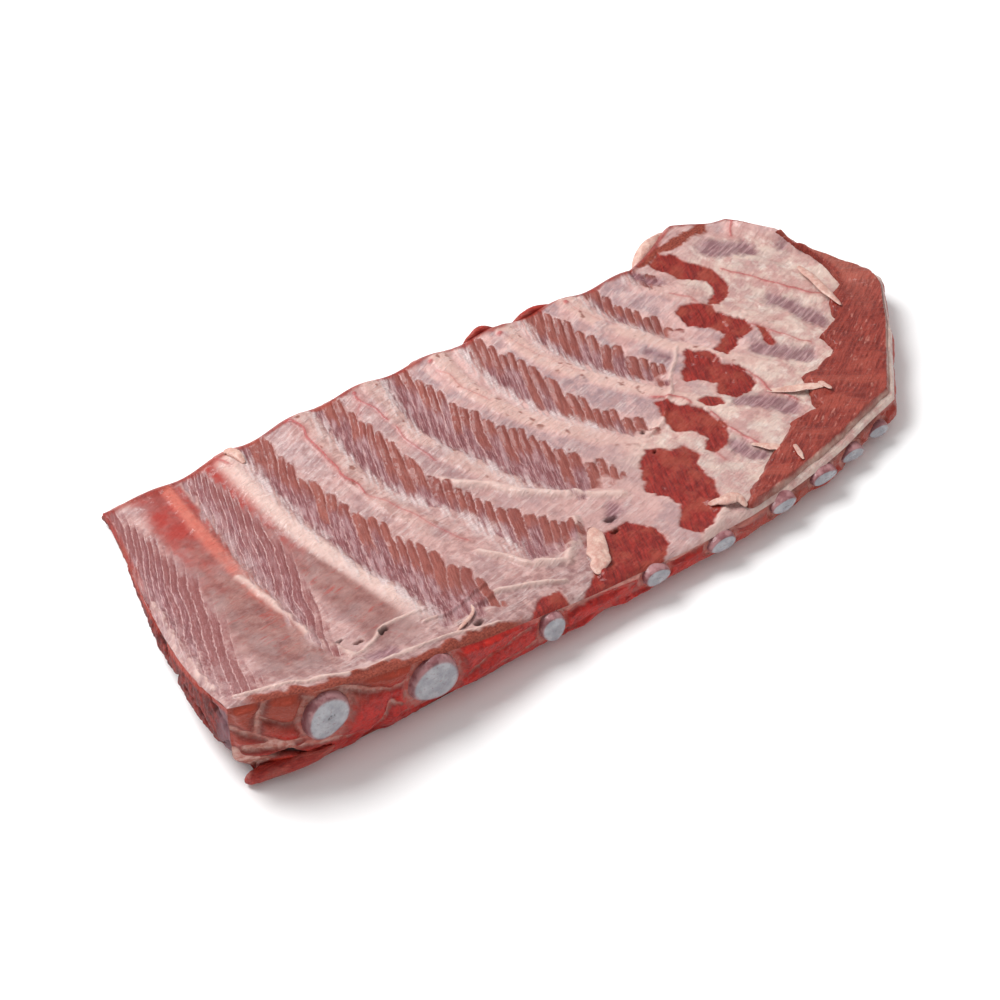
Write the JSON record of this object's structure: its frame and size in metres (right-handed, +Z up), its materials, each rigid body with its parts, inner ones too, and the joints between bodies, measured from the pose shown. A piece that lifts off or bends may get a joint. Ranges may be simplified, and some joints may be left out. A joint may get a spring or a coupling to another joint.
{
  "type": "rack of ribs",
  "caption": "Rack of raw pork spare ribs lying inner side up: a meat slab with rib bones running through it, cartilage ends at its front cut and a flap of skirt muscle at one end",
  "frame": {"origin": "under the middle of the rack, on the plane it rests on", "axes": "X along the rack from its thick left end to its pointed right end, Y from the thick front edge towards the sawn back edge, Z up out of the inner side"},
  "size_m": [0.3836, 0.1831, 0.0456],
  "materials": {
    "meat": "wet raw meat under a pale membrane",
    "skirt_muscle": "wet raw muscle with fine fibres",
    "bone": "damp bone and bluish cartilage"
  },
  "bodies": {
    "root": {"meat": "meat", "skirt_muscle": "skirt_muscle", "rib_1": "bone", "rib_2": "bone", "rib_3": "bone", "rib_4": "bone", "rib_5": "bone", "rib_6": "bone", "rib_7": "bone", "rib_8": "bone", "rib_9": "bone"}
  },
  "joints": []
}
